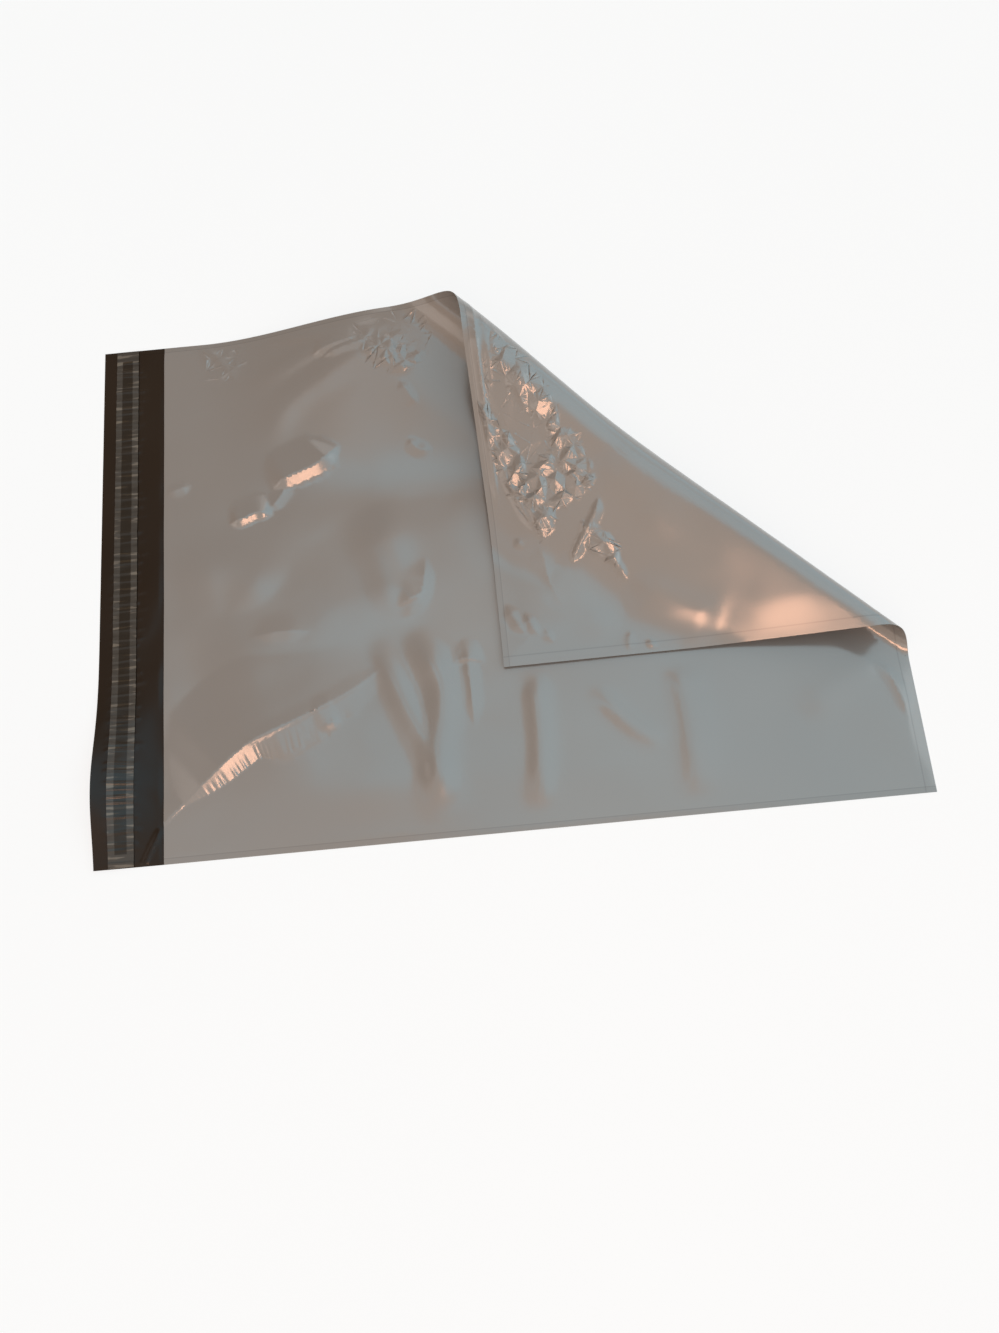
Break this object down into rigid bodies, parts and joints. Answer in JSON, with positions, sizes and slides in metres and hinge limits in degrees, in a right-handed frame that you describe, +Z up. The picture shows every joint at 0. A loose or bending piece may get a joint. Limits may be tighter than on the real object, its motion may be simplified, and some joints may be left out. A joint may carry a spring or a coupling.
{
  "type": "poly mailer bag",
  "caption": "Flat grey film mailing bag with a black self-seal lip and peel-off liner, lying flat with one bottom corner rolled back over its front.",
  "frame": {"origin": "middle of the bounding box, on the surface that the bag lies on", "axes": "+X from the lip towards the bottom fold, +Y towards the side seam whose corner is turned back, +Z up through the film"},
  "size_m": [0.572, 0.4, 0.0689],
  "materials": {
    "grey_film": "gloss",
    "adhesive": "satin",
    "liner_film": "gloss"
  },
  "bodies": {
    "root": {"mailer_film": "grey_film", "adhesive_strip": "adhesive", "release_liner": "liner_film"}
  },
  "joints": []
}
